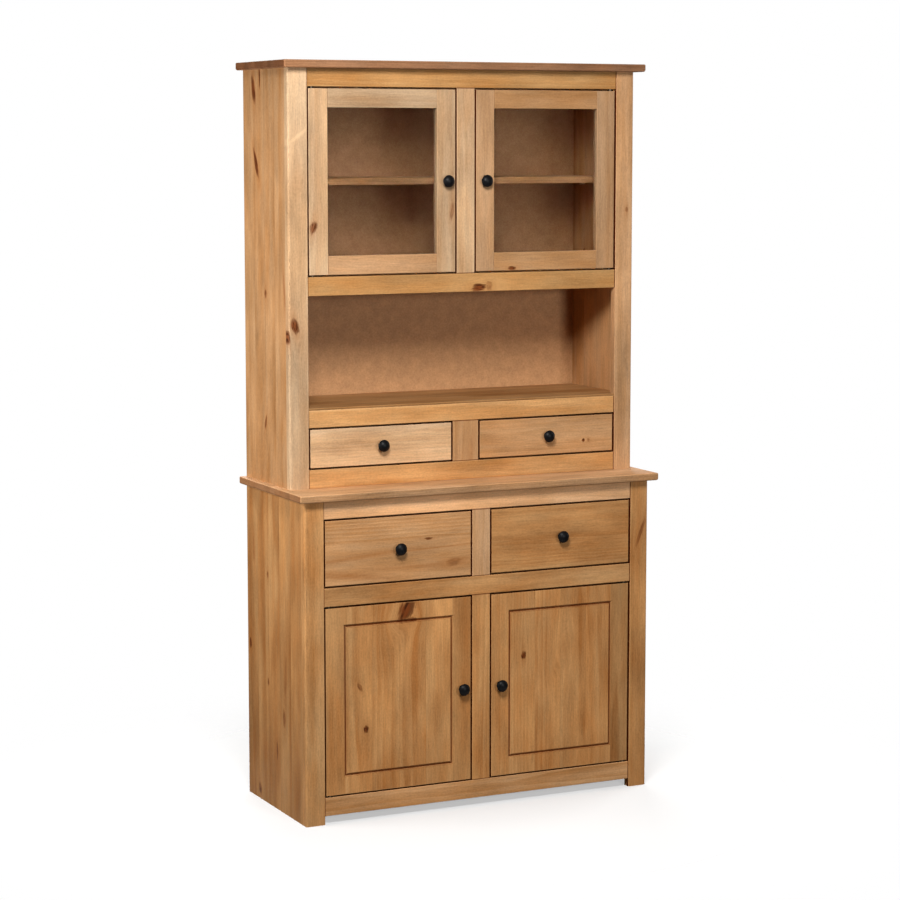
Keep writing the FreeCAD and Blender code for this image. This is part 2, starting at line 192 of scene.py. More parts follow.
def set_shader(graph, shader, **sockets):
    """Sets or links shader sockets, named with underscores for spaces."""
    for name, value in sockets.items():
        graph.feed(shader.inputs[name.replace("_", " ")], value)


def let_through(material, graph, shader, share, tint=WHITE):
    """Lets a share of the rays pass straight through a material, tinted."""
    clear = graph.node("BsdfTransparent", {"Color": tint})
    both = graph.node("MixShader", {0: share, 1: Wire(graph, shader.outputs[0]), 2: clear})
    graph.feed(material.node_tree.nodes["Material Output"].inputs["Surface"], both)


# Boxes, knots and strips in wood

def box_distance_group():
    """How far a point on a box is from the box's nearest edge, its nearest side or end, and its front."""
    tree, graph, wire, out = new_group(
        "box distance", {"Centre": "Vector", "Half": "Vector"}, floats("Edge", "Side", "Behind"))
    point = graph.node("TexCoord", output="Object")
    offset = graph.vector_math("SUBTRACT", point, wire["Centre"])
    inset = graph.vector_math("SUBTRACT", wire["Half"], graph.vector_math("ABSOLUTE", offset))
    x, y, z = graph.split(inset)
    side = graph.math("MINIMUM", x, z)
    most = graph.larger(graph.larger(x, y), z)
    behind = graph.split(graph.vector_math("ADD", offset, wire["Half"]))[1]
    graph.feed(out.inputs["Edge"], x + y + z - graph.math("MINIMUM", side, y) - most)
    graph.feed(out.inputs["Side"], side)
    graph.feed(out.inputs["Behind"], behind)
    return tree


# A knot's shape, in units of its half length and half width. Rates are bumps per unit, and a pair says
# between which values a part of the knot comes or goes.
WOBBLE_RATE = 1.4
VEIN_RATE_ALONG = 0.8
VEIN_RATE_ACROSS = 2.6
WOBBLE_REACH = 0.7
VEIN_REACH = 1.1
RIM_START = (0.45, 0.85)
RIM_END = (0.85, 1.3)
RIM_STRENGTH = 0.7
RIM_WOBBLE = 1.5
RIM_FAR_SIDE = (-0.9, 1.0)
RIM_NEAR_SHARE = 0.25
VEIN_DARK = (-0.1, 0.08)
VEIN_END = (0.4, 1.15)
HEART_END = (0.5, 1.35)
PARTING_ALONG = 0.06
PARTING_ACROSS = 0.22
PARTING_SHARE = 0.7
FLUSH_FADE = 2.2
FLUSH_EVEN_SHARE = 0.9


def knot_group():
    """A knot: red heart, dark rim and veins, flushed or pale wood, and grain that parts around it."""
    tree, graph, wire, out = new_group(
        "knot",
        floats("Along", "Across", "Knot along", "Knot across", "Half length", "Half width", "Lean",
               "Core", "Stain", "Seed"),
        floats("Across", "Heart", "Rim", "Flush", "Pale"))
    across, core, seed = wire["Across"], wire["Core"], wire["Seed"]
    off_along = wire["Along"] - wire["Knot along"]
    off_across = across - wire["Knot across"] - off_along * wire["Lean"]
    far_along = off_along / wire["Half length"]
    far_across = off_across / wire["Half width"]

    wobble = graph.noise(far_along * WOBBLE_RATE + seed, far_across * WOBBLE_RATE, seed) - 0.5
    vein = graph.noise(far_along * VEIN_RATE_ALONG, far_across * VEIN_RATE_ACROSS + seed, seed) - 0.5
    distance = graph.length(far_along, far_across) + wobble * WOBBLE_REACH + vein * VEIN_REACH
    far_side = graph.rise(far_across + wobble * RIM_WOBBLE, *RIM_FAR_SIDE)
    lopsided = far_side.between(RIM_NEAR_SHARE, 1.0)
    ring = graph.rise(distance, *RIM_START) * graph.fall(distance, *RIM_END) * lopsided * RIM_STRENGTH
    veins = graph.fall(vein, *VEIN_DARK) * graph.fall(distance, *VEIN_END)
    graph.feed(out.inputs["Heart"], graph.fall(distance, *HEART_END) * core)
    graph.feed(out.inputs["Rim"], graph.larger(ring, veins) * core)

    reach = far_along * far_along * PARTING_ALONG + far_across * far_across * PARTING_ACROSS
    near = graph.math("EXPONENT", reach * -1.0)
    flush = graph.math("EXPONENT", reach * -FLUSH_FADE) * (wobble + FLUSH_EVEN_SHARE) * wire["Stain"]
    graph.feed(out.inputs["Across"], across - off_across * near * PARTING_SHARE)
    graph.feed(out.inputs["Flush"], flush)
    graph.feed(out.inputs["Pale"], flush * -1.0)
    return tree


# Strips: their width and joint, how their seeds spread, and where their piths are: across them, in strip
# widths about a strip's middle, and in depth, in metres to either side of the frame's zero
STRIP_WIDTH = 68 * MM
STRIP_JOINT = 0.7 * MM
STRIP_SEED_STEP = 17.3
STRIP_SEED_SPREAD = 31.0
STRIP_PITH_SPREAD = 2.2
STRIP_PITH_DEPTH = (0.02, 0.09)


def strips_group():
    """Edge-glued strips: each strip's own seed, tone and pith, and the joints between them."""
    tree, graph, wire, out = new_group(
        "strips",
        floats("Across", "Start", "Width", "Seed"),
        floats("Seed", "Tone", "Pith across", "Pith depth", "Joint"))
    width, seed = wire["Width"], wire["Seed"]
    number = (wire["Across"] - wire["Start"]) / width
    index = graph.math("FLOOR", number)
    chance = graph.node(
        "TexWhiteNoise", {"W": index + seed * STRIP_SEED_STEP}, output="Color", noise_dimensions="1D")
    first, second, third = graph.split(chance)
    middle = (index + 0.5) * width + wire["Start"]
    pith_depth = graph.math("SIGN", third - 0.5) * second.between(*STRIP_PITH_DEPTH)
    from_middle = graph.math("ABSOLUTE", graph.math("FRACT", number) - 0.5) * width
    edge = width * 0.5
    graph.feed(out.inputs["Seed"], seed + first * STRIP_SEED_SPREAD)
    graph.feed(out.inputs["Tone"], second - 0.5)
    graph.feed(out.inputs["Pith across"], middle + (first - 0.5) * width * STRIP_PITH_SPREAD)
    graph.feed(out.inputs["Pith depth"], pith_depth)
    graph.feed(out.inputs["Joint"], graph.rise(from_middle, edge - STRIP_JOINT, edge))
    return tree


# Pine

# Growth rings: width, slow bend, quick ripple, how years differ, and where in a ring the late wood peaks
RING_WIDTH = 6.2 * MM
RING_BEND = 22 * MM
RING_RIPPLE = 3 * MM
YEAR_STEP = 0.37
YEAR_RANGE = (0.25, 0.75)
LATE_PEAK = 0.85

# Textures of the grain: bumps per metre along and across it, how far the board's seed shifts them, their
# detail, and how much they ripen and lighten the wood
Figure = namedtuple("Figure", "along across shift detail ripens lightens", defaults=(2.0, 0.0, 0.0))
FIGURES = {
    "bend": Figure(1.1, 5.0, 1.0),
    "ripple": Figure(6.0, 40.0, 1.7),
    "hue": Figure(3.0, 16.0, 4.3),
    "band": Figure(1.3, 38.0, 1.9),
    "resin": Figure(34.0, 800.0, 0.0, detail=1.0),
    "patch": Figure(4.5, 14.0, 5.1, ripens=1.6, lightens=-0.5),
    "blotch": Figure(15.0, 36.0, 2.9, detail=3.0, ripens=0.9, lightens=0.45),
    "streak": Figure(5.5, 150.0, 3.7, detail=3.0, ripens=0.4, lightens=0.2),
    "fibre": Figure(22.0, 380.0, 1.0, detail=3.0, lightens=0.5),
    "hair": Figure(36.0, 1500.0, 1.0, lightens=0.35),
    "mottle": Figure(190.0, 290.0, 1.0, lightens=0.4),
}
RIPE_BASE = 0.1
RIPE_LATE = 0.45
RIPE_BAND = 0.3
BAND_RANGE = (-0.14, 0.16)
RESIN_RANGE = (0.14, 0.24)
HUE_RANGE = (-0.16, 0.16)
WARM_TINT = (1.03, 0.985, 0.92, 1.0)
COOL_TINT = (0.975, 1.005, 1.04, 1.0)
STRIP_TONE = 0.14
RESIN_SHADE = 0.2
JOINT_SHADE = 0.22

# Knots, end grain, worn edges and painted gap shade: linear colours, how much they cover and how light they
# are
PALE_COVER = 0.85
PALE_LIGHT = 1.28
FLUSH_COVER = 0.5
FLUSH_COLOUR = (0.36, 0.135, 0.036, 1.0)
HEART_COLOUR = (0.19, 0.046, 0.0105, 1.0)
RIM_COLOUR = (0.06, 0.0155, 0.0042, 1.0)
END_SHADE = (0.46, 0.38, 0.33, 1.0)
WEAR_COVER = 0.3
WEAR_LIGHT = 1.12
# Painted shade: dark brown on edges that face a gap and on groove floors; the dark end seams use it too
GAP_SHADE_COVER = 0.97
GAP_SHADE_COLOUR = (0.085, 0.0085, 0.0007, 1.0)

# Surface: roughness, what adds to it, and the relief of each feature
ROUGHNESS = 0.545
FIBRE_ROUGHNESS = 0.25
HEART_POLISH = 0.08
END_ROUGHNESS = 0.2
FIBRE_RELIEF = 0.5
FINE_RELIEF = 0.3
JOINT_RELIEF = 0.5


def pine_group():
    """Waxed pine cut from a log: growth rings about a pith, fibres, resin, knots, worn edges and painted
    shade.
    """
    tree, graph, wire, out = new_group(
        "pine",
        dict.fromkeys(("Early", "Late"), "Color") | floats(
            "Along", "Across", "Depth", "Seed", "Pith across", "Pith depth", "Tone", "Heart", "Rim",
            "Flush", "Pale", "Wear", "End", "Joint", "Stain"),
        {"Color": "Color"} | floats("Roughness", "Height"))
    along, across, depth = wire["Along"], wire["Across"], wire["Depth"]
    seed, early = wire["Seed"], wire["Early"]
    figure = {}
    for name, kind in FIGURES.items():
        shifted = depth * kind.across + seed * kind.shift
        figure[name] = graph.noise(along * kind.along, across * kind.across, shifted, kind.detail) - 0.5

    def summed(effect):
        """All textures, each times its share in one effect."""
        shares = {name: getattr(kind, effect) for name, kind in FIGURES.items()}
        first, *rest = (figure[name] * share for name, share in shares.items() if share)
        return sum(rest, first)

    radius = graph.length(across - wire["Pith across"], depth - wire["Pith depth"])
    phase = (radius + figure["bend"] * RING_BEND + figure["ripple"] * RING_RIPPLE) / RING_WIDTH
    share = graph.math("FRACT", phase)
    year = graph.noise(graph.math("FLOOR", phase) * YEAR_STEP + seed, seed, 0.0, 0.0)
    late = graph.rise(share, 0.0, LATE_PEAK) * graph.fall(share, LATE_PEAK, 1.0)
    late = late * graph.rise(year, *YEAR_RANGE)
    band = graph.rise(figure["band"], *BAND_RANGE)
    resin = graph.rise(figure["resin"], *RESIN_RANGE)
    ripe = summed("ripens") + late * RIPE_LATE + band * RIPE_BAND + RIPE_BASE
    tone = summed("lightens") + wire["Tone"] * STRIP_TONE + 1.0
    tone = tone - resin * RESIN_SHADE - wire["Joint"] * JOINT_SHADE

    wood = graph.mix(ripe, early, wire["Late"])
    tint = graph.mix(graph.rise(figure["hue"], *HUE_RANGE), WARM_TINT, COOL_TINT)
    wood = graph.scale(graph.mix(1.0, wood, tint, "MULTIPLY"), tone)
    wood = graph.mix(wire["Pale"] * PALE_COVER, wood, graph.scale(early, PALE_LIGHT))
    wood = graph.mix(wire["Flush"] * FLUSH_COVER, wood, FLUSH_COLOUR)
    wood = graph.mix(wire["Heart"], wood, HEART_COLOUR)
    wood = graph.mix(wire["Rim"], wood, RIM_COLOUR)
    wood = graph.mix(wire["End"], wood, graph.mix(1.0, wood, END_SHADE, "MULTIPLY"))
    wood = graph.mix(wire["Wear"] * WEAR_COVER, wood, graph.scale(early, WEAR_LIGHT))
    # Painted shade: dark brown where the mask marks edges facing a gap, groove floors and end seams
    wood = graph.mix(wire["Stain"] * GAP_SHADE_COVER, wood, GAP_SHADE_COLOUR)

    roughness = figure["fibre"] * FIBRE_ROUGHNESS + ROUGHNESS
    roughness = roughness - wire["Heart"] * HEART_POLISH + wire["End"] * END_ROUGHNESS
    fine = figure["hair"] + late - resin - wire["Rim"]
    height = figure["fibre"] * FIBRE_RELIEF + fine * FINE_RELIEF - wire["Joint"] * JOINT_RELIEF
    graph.feed(out.inputs["Color"], wood)
    graph.feed(out.inputs["Roughness"], roughness)
    graph.feed(out.inputs["Height"], height)
    return tree


box_distance = box_distance_group()
knot_nodes = knot_group()
strip_nodes = strips_group()
pine_nodes = pine_group()

# Early wood and late wood of each run of boards, as linear colours
Palette = namedtuple("Palette", "early late")
SAND = Palette((0.56, 0.305, 0.14), (0.41, 0.19, 0.066))
HONEY = Palette((0.54, 0.285, 0.115), (0.37, 0.15, 0.041))
PALE = Palette((0.7, 0.46, 0.265), (0.54, 0.31, 0.155))
TAN = Palette((0.63, 0.365, 0.19), (0.48, 0.25, 0.11))
AMBER = Palette((0.6, 0.325, 0.125), (0.45, 0.2, 0.058))
STRAW = Palette((0.585, 0.32, 0.132), (0.43, 0.197, 0.063))
BROWN = Palette((0.465, 0.235, 0.089), (0.325, 0.13, 0.037))
RAW = Palette((0.6, 0.38, 0.2), (0.45, 0.25, 0.115))
DUSKY = Palette((0.39, 0.2, 0.105), (0.27, 0.115, 0.05))

# A knot's place along and across the grain, its half length and half width in millimetres, how dark its
# core is, how far it leans across the grain for each step along it, and how strongly the wood about it is
# flushed, or how pale it is where that is negative
Knot = namedtuple("Knot", "along across half_length half_width core lean stain", defaults=(0.0, 0.9))

# The box whose rim gets painted shade, the depth of a groove in its front whose floor gets it too, and the
# heights where it stays unshaded. Pairs say between which distances the painted shade comes or goes.
Stain = namedtuple("Stain", "low high groove clean", defaults=(0.0, None))
GAP_SHADE_SIDE = (0.5 * MM, 1.5 * MM)
GAP_SHADE_FRONT = (0.5 * MM, 1.9 * MM)
GAP_SHADE_BACK = (7 * MM, 12 * MM)
GAP_SHADE_CLEAR_FADE = 1 * MM
GROOVE_WALL_SHARE = 0.75
GROOVE_BACK = (4 * MM, 5 * MM)
GROOVE_INSET = (5 * MM, 8 * MM)
GROOVE_SHADE_STRENGTH = 0.9
SEAM_WIDTH = (1.0 * MM, 2.6 * MM)
SEAM_STRENGTH = 0.75

# A board's wax, end grain, worn edges and relief, and the ranges that its seed and pith are drawn from
WAX_POLISH = 0.14
WAX_TINT = (1.0, 0.72, 0.45, 1.0)
END_FACING = (0.55, 0.85)
WEAR_WIDTH = (0.6 * MM, 2.2 * MM)
WEAR_RAGGED = 2 * MM
WEAR_RATE_ALONG = 40.0
WEAR_RATE_ACROSS = 160.0
GRAIN_DEPTH = 0.25 * MM
GRAIN_STRENGTH = 0.5
SEED_RANGE = (0.0, 40.0)
PITH_OFF_CENTRE = (-0.35, 0.35)
PITH_DEPTH = (0.02, 0.07)


def solid_colour(colour, light):
    """A colour times a lightness, with full alpha."""
    return tuple(channel * light for channel in colour) + (1.0,)


def grain_axes(size, grain):
    """Axis numbers along the grain, across it and into the board. Grain runs the longest way by default."""
    order = sorted(range(3), key=lambda axis: size[axis])
    along = AXES.index(grain) if grain else order[2]
    depth, across = (axis for axis in order if axis != along)
    return along, across, depth


def box_inputs(low, high):
    """What the box distance group needs to know of the box between two corners."""
    return {"Centre": (low + high) / 2, "Half": (high - low) / 2}


def painted_gap_shade(graph, stained, height):
    """Painted shade on the rim of a box, just behind its front, and on the floor of a groove in the front.
    """
    rim = use_group(graph, box_distance, box_inputs(stained.low, stained.high))
    behind, side = rim("Behind"), rim("Side")
    stain = graph.fall(side, *GAP_SHADE_SIDE)
    stain = stain * graph.rise(behind, *GAP_SHADE_FRONT) * graph.fall(behind, *GAP_SHADE_BACK)
    if stained.groove:
        floor = graph.rise(behind, stained.groove * GROOVE_WALL_SHARE, stained.groove)
        floor = floor * graph.fall(behind, *GROOVE_BACK) * graph.rise(side, *GROOVE_INSET)
        stain = graph.larger(stain, floor * GROOVE_SHADE_STRENGTH)
    if stained.clean:
        below, above = stained.clean
        clean = graph.rise(height, below - GAP_SHADE_CLEAR_FADE, below)
        clean = clean * graph.fall(height, above, above + GAP_SHADE_CLEAR_FADE)
        stain = stain * (1.0 - clean)
    return stain


def end_seams(graph, along, start, end):
    """Dark lines along both ends of a board, where it butts the next board."""
    inset = (end - start) / 2 - graph.math("ABSOLUTE", along - (start + end) / 2)
    return graph.fall(inset, *SEAM_WIDTH) * SEAM_STRENGTH


def pine(name, low, high, palette, light, grain=None, strips=False, knots=(), stained=None, seams=False):
    """Pine for the board between two corners, with any strips, knots, painted gap shade and dark end seams
    that it has.
    """
    size = high - low
    middle = (low + high) / 2
    along_axis, across_axis, depth_axis = grain_axes(size, grain)
    chance = random.Random(name)
    seed = chance.uniform(*SEED_RANGE)

    material, graph, shader = new_material("pine " + name)
    place = graph.place()
    along, across, depth = place[along_axis], place[across_axis], place[depth_axis]
    end = graph.math("ABSOLUTE", graph.facing()[along_axis])
    ragged = graph.noise(along * WEAR_RATE_ALONG, across * WEAR_RATE_ACROSS, depth * WEAR_RATE_ACROSS) - 0.5
    board = use_group(graph, box_distance, box_inputs(low, high))
    inputs = {
        "Along": along,
        "Depth": depth,
        "Early": solid_colour(palette.early, light),
        "Late": solid_colour(palette.late, light),
        "End": graph.rise(end, *END_FACING),
        "Wear": graph.fall(board("Edge") + ragged * WEAR_RAGGED, *WEAR_WIDTH),
    }
    if strips:
        count = max(1, round(size[across_axis] / STRIP_WIDTH))
        strip = use_group(graph, strip_nodes, {
            "Across": across, "Start": low[across_axis], "Width": size[across_axis] / count, "Seed": seed})
        for socket in ("Seed", "Tone", "Pith across", "Pith depth", "Joint"):
            inputs[socket] = strip(socket)
    else:
        inputs["Seed"] = seed
        inputs["Pith across"] = middle[across_axis] + chance.uniform(*PITH_OFF_CENTRE) * size[across_axis]
        inputs["Pith depth"] = middle[depth_axis] + chance.uniform(*PITH_DEPTH)
    for number, knot in enumerate(knots):
        spot = use_group(graph, knot_nodes, {
            "Along": along, "Across": across, "Seed": seed + number, "Core": knot.core, "Stain": knot.stain,
            "Knot along": knot.along * MM, "Knot across": knot.across * MM, "Lean": knot.lean,
            "Half length": knot.half_length * MM, "Half width": knot.half_width * MM})
        across = spot("Across")
        for socket in ("Heart", "Rim", "Flush", "Pale"):
            inputs[socket] = graph.larger(inputs.get(socket, 0.0), spot(socket))
    inputs["Across"] = across
    polish = WAX_POLISH
    # Painted shade on edges facing a gap and on groove floors, with the wax's sheen taken away there
    if stained:
        stain = painted_gap_shade(graph, stained, height=place[2])
        if seams:
            stain = graph.larger(stain, end_seams(graph, along, low[along_axis], high[along_axis]))
        inputs["Stain"] = stain
        polish = (1.0 - stain) * WAX_POLISH

    made = use_group(graph, pine_nodes, inputs)
    set_shader(graph, shader, Base_Color=made("Color"), Roughness=made("Roughness"),
               Normal=graph.bump(made("Height"), GRAIN_DEPTH, GRAIN_STRENGTH),
               Specular_IOR_Level=polish, Specular_Tint=WAX_TINT)
    return material


# Other materials, with linear colours and with bumps of noise per metre

# Hardboard: colours, what lightens it, roughness, relief, and the mesh print on what faces backwards
HARDBOARD_COLOURS = ((0.36, 0.17, 0.069, 1.0), (0.59, 0.325, 0.15, 1.0))
HARDBOARD_CLOUD_TONE = 0.5
HARDBOARD_FINE_TONE = 0.35
HARDBOARD_MESH_TONE = 0.1
HARDBOARD_ROUGHNESS = (0.5, 0.75)
HARDBOARD_FIBRE_RELIEF = 0.3
MESH_PRINT_PITCH = 2.4 * MM
MESH_PRINT_FACING = (0.5, 0.8)


def hardboard(name):
    """Brown pressed fibre: smooth and flecked in front, with the print of a wire mesh behind."""
    material, graph, shader = new_material(name)
    place = graph.place()
    cloud = graph.even_noise(place, bumps=38.0, detail=4.0)
    fleck = graph.even_noise(place, bumps=240.0, detail=3.0)
    fine = graph.even_noise(place, bumps=1100.0)
    turns = 2 * math.pi / MESH_PRINT_PITCH
    behind = graph.rise(graph.facing()[1], *MESH_PRINT_FACING)
    weave = graph.math("SINE", place[0] * turns) * graph.math("SINE", place[2] * turns) * behind
    colour = graph.mix(fleck, *HARDBOARD_COLOURS)
    tone = (cloud - 0.5) * HARDBOARD_CLOUD_TONE + (fine - 0.5) * HARDBOARD_FINE_TONE
    tone = tone + weave * HARDBOARD_MESH_TONE + 1.0
    height = (fine + fleck) * HARDBOARD_FIBRE_RELIEF + weave
    set_shader(graph, shader, Base_Color=graph.scale(colour, tone),
               Roughness=fleck.between(*HARDBOARD_ROUGHNESS),
               Normal=graph.bump(height, depth=0.2 * MM, strength=0.5), Specular_IOR_Level=0.3)
    return material


# Beech: colours, where its flecks are dark, lightness and roughness
BEECH_COLOURS = ((0.62, 0.4, 0.23, 1.0), (0.42, 0.22, 0.1, 1.0))
BEECH_FLECK_RANGE = (0.45, 0.7)
BEECH_TONE = (0.8, 1.2)
BEECH_ROUGHNESS = (0.5, 0.7)


def beech(name):
    """Pale turned wood with short darker flecks, for the pegs."""
    material, graph, shader = new_material(name)
    place = graph.place()
    fleck = graph.even_noise(place, bumps=900.0)
    band = graph.even_noise(place, bumps=120.0)
    colour = graph.mix(graph.rise(fleck, *BEECH_FLECK_RANGE), *BEECH_COLOURS)
    set_shader(graph, shader, Base_Color=graph.scale(colour, band.between(*BEECH_TONE)),
               Roughness=fleck.between(*BEECH_ROUGHNESS),
               Normal=graph.bump(fleck, depth=0.1 * MM, strength=0.4))
    return material


# Metals: colours, roughness and what adds to it
IRON_COLOURS = ((0.003, 0.003, 0.0035, 1.0), (0.008, 0.008, 0.009, 1.0))
IRON_ROUGHNESS = 0.25
IRON_GRIT_ROUGHNESS = 0.2
IRON_CLOUD_ROUGHNESS = 0.12
STEEL_COLOURS = ((0.07, 0.05, 0.035, 1.0), (0.16, 0.115, 0.08, 1.0))
STEEL_ROUGHNESS = 0.25
STEEL_MARK_ROUGHNESS = 0.2
SCRATCHES_ALONG = 160.0
SCRATCHES_ACROSS = 2600.0


def black_iron(name):
    """Black painted iron with a slightly uneven skin."""
    material, graph, shader = new_material(name)
    place = graph.place()
    grit = graph.even_noise(place, bumps=900.0, detail=3.0)
    cloud = graph.even_noise(place, bumps=90.0)
    roughness = grit * IRON_GRIT_ROUGHNESS + cloud * IRON_CLOUD_ROUGHNESS + IRON_ROUGHNESS
    set_shader(graph, shader, Base_Color=graph.mix(cloud, *IRON_COLOURS), Roughness=roughness,
               Normal=graph.bump(grit, depth=0.15 * MM, strength=0.35), Specular_IOR_Level=0.12)
    return material


def steel(name):
    """Steel bronzed dark brown, with fine upright scratches and dull patches."""
    material, graph, shader = new_material(name)
    place = graph.place()
    x, y, z = place
    scratch = graph.noise(x * SCRATCHES_ACROSS, y * SCRATCHES_ACROSS, z * SCRATCHES_ALONG)
    patch = graph.even_noise(place, bumps=130.0)
    roughness = (scratch + patch) * STEEL_MARK_ROUGHNESS + STEEL_ROUGHNESS
    set_shader(graph, shader, Base_Color=graph.mix(patch, *STEEL_COLOURS), Metallic=1.0, Roughness=roughness,
               Normal=graph.bump(scratch, depth=0.05 * MM, strength=0.3))
    return material


# Panes: how weakly they bend light, their tints to the eye and to lamps, no mirror image, and their smears
PANE_IOR = 1.3
PANE_TINT = (0.755, 0.757, 0.775, 1.0)
PANE_LAMP_TINT = (0.365, 0.365, 0.37, 1.0)
NO_MIRROR = (0.0, 0.0, 0.0, 1.0)
SMEARS_LEVEL = 14.0
SMEARS_UPRIGHT = 30.0
SMEAR_RANGE = (0.45, 0.8)
SMEAR_ROUGHNESS = 0.04


def window_glass(name):
    """Slightly grey pane with faint smears and no mirror image. Lamps shine straight through it, dimmed."""
    material, graph, shader = new_material(name)
    x, y, z = graph.place()
    smear = graph.noise(x * SMEARS_LEVEL, y * SMEARS_LEVEL, z * SMEARS_UPRIGHT, detail=4.0)
    set_shader(graph, shader, Base_Color=PANE_TINT, Transmission_Weight=1.0, IOR=PANE_IOR,
               Roughness=graph.rise(smear, *SMEAR_RANGE) * SMEAR_ROUGHNESS, Specular_Tint=NO_MIRROR)
    let_through(material, graph, shader, graph.light_path("Is Shadow Ray"), PANE_LAMP_TINT)
    return material


# Dressing the nodes

HANDS = ("left", "right")

# Boards that share a node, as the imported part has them, and how deep under a face its board is looked up
DOOR_STILE_WIDTH = 48 * MM
DOOR_RAIL_HEIGHT = 44 * MM
BOX_SIDE_THICKNESS = 12 * MM
BOX_PANEL_RISE = 8 * MM
BOX_PANEL_THICKNESS = 4 * MM
INTO_BOARD = 0.2 * MM

# A board's palette, lightness and knots
Board = namedtuple("Board", "palette light knots", defaults=((),))


def dress(node, *materials):
    """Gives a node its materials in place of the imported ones."""
    slots = nodes[node].data.materials
    slots.clear()
    for material in materials:
        slots.append(material)


def dress_pine(node, palette, light, **choices):
    """Gives a node that is one board, or a row of like boards, its pine."""
    dress(node, pine(node, *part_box(node), palette, light, **choices))


def dress_boards(node, boards):
    """Gives each board of a node, as (low corner, high corner, material), the polygons that lie on it."""
    dress(node, *(material for low, high, material in boards))
    for polygon in nodes[node].data.polygons:
        inside = polygon.center - polygon.normal * INTO_BOARD
        for index, (low, high, material) in enumerate(boards):
            if all(low[axis] <= inside[axis] <= high[axis] for axis in range(3)):
                polygon.material_index = index


def frame_boards(low, high):
    """Corners of a glazed door's boards by name: two upright stiles with two rails between them."""
    left, right = low.x + DOOR_STILE_WIDTH, high.x - DOOR_STILE_WIDTH
    below, above = low.z + DOOR_RAIL_HEIGHT, high.z - DOOR_RAIL_HEIGHT
    return {
        "left_stile": (low, Vector((left, high.y, high.z))),
        "right_stile": (Vector((right, low.y, low.z)), high),
        "low_rail": (Vector((left, low.y, low.z)), Vector((right, high.y, below))),
        "high_rail": (Vector((left, low.y, above)), Vector((right, high.y, high.z))),
    }


def panel_boards(low, high):
    """Corners of a panelled door's upright boards by name."""
    left, right = low.x + DOOR_STILE_WIDTH, high.x - DOOR_STILE_WIDTH
    return {
        "left_board": (low, Vector((left, high.y, high.z))),
        "centre_board": (Vector((left, low.y, low.z)), Vector((right, high.y, high.z))),
        "right_board": (Vector((right, low.y, low.z)), high),
    }


def box_boards(low, high):
    """Corners of a drawer box's boards by name: bottom, back and two sides."""
    left, right = low.x + BOX_SIDE_THICKNESS, high.x - BOX_SIDE_THICKNESS
    panel_low = low.z + BOX_PANEL_RISE
    panel_high = panel_low + BOX_PANEL_THICKNESS
    return {
        "bottom": (Vector((left, low.y, panel_low)), Vector((right, high.y, panel_high))),
        "back": (Vector((left, high.y - BOX_SIDE_THICKNESS, panel_high)), Vector((right, high.y, high.z))),
        "left_side": (low, Vector((left, high.y, high.z))),
        "right_side": (Vector((right, low.y, low.z)), high),
    }


# Face frames
FRAME_BOARDS = {
    "hutch_stile_left": Board(PALE, 0.75, [
        Knot(1162, -440, 17, 10, 0.95, -0.2), Knot(1135, -449, 14, 3, 0.9),
        Knot(1597, -430, 12, 5, 0.0, 1.3, -0.9), Knot(1565, -449, 30, 4, 0.0, 0.0, -0.7),
        Knot(1520, -430, 20, 16, 0.0, 0.0, 0.35)]),
    "hutch_stile_right": Board(TAN, 0.9, [Knot(1420, 436, 6, 4, 0.4)]),
    "hutch_top_rail": Board(AMBER, 0.74),
    "hutch_door_rail": Board(AMBER, 0.81, [
        Knot(34, 1239, 17, 9, 1.0), Knot(62, 1241, 8, 8, 0.3), Knot(90, 1240, 8, 9, 0.0, 0.0, -0.5)]),
    "niche_rail": Board(STRAW, 1.15),
    "hutch_bottom_rail": Board(STRAW, 1.02),
    "hutch_door_mullion": Board(PALE, 0.79),
    "hutch_drawer_divider": Board(SAND, 0.84, [Knot(868, 18, 24, 6, 0.0, 0.1, 0.6)]),
    "base_stile_left": Board(HONEY, 1.05),
    "base_stile_right": Board(BROWN, 1.1, [Knot(634, 434, 30, 5, 0.5, 0.35)]),
    # Its lightness is partly its wood and partly painted light that offsets the shadow under the top's
    # overhang
    "base_top_rail": Board(TAN, 1.26),
    "base_middle_rail": Board(HONEY, 1.02),
    "base_bottom_rail": Board(SAND, 1.14),
    "base_drawer_divider": Board(TAN, 1.0),
    "base_door_divider": Board(BROWN, 1.27),
}

# Heights between which the hutch's stiles face the open niche and no gap
NICHE = (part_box("niche_rail")[1].z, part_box("hutch_door_rail")[0].z)

# How far a shaded box reaches past the edges that face no gap, so that they get no painted shade
PAST_EDGE = 50 * MM


def frame_gap_shade(node):
    """Painted shade on the edges of a face frame board that face a gap."""
    low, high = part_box(node)
    if node.endswith("stile_left"):
        return Stain(low - Vector((PAST_EDGE, 0, PAST_EDGE)), high + Vector((0, 0, PAST_EDGE)), clean=NICHE)
    if node.endswith("stile_right"):
        return Stain(low - Vector((0, 0, PAST_EDGE)), high + Vector((PAST_EDGE, 0, PAST_EDGE)), clean=NICHE)
    if node == "hutch_door_rail":
        return Stain(low - Vector((0, 0, PAST_EDGE)), high)
    return Stain(low, high)


# Face frame boards get painted shade on edges that face a gap, and rails dark seams at their ends
for node, board in FRAME_BOARDS.items():
    dress_pine(node, board.palette, board.light, stained=frame_gap_shade(node), knots=board.knots,
               seams="stile" not in node)

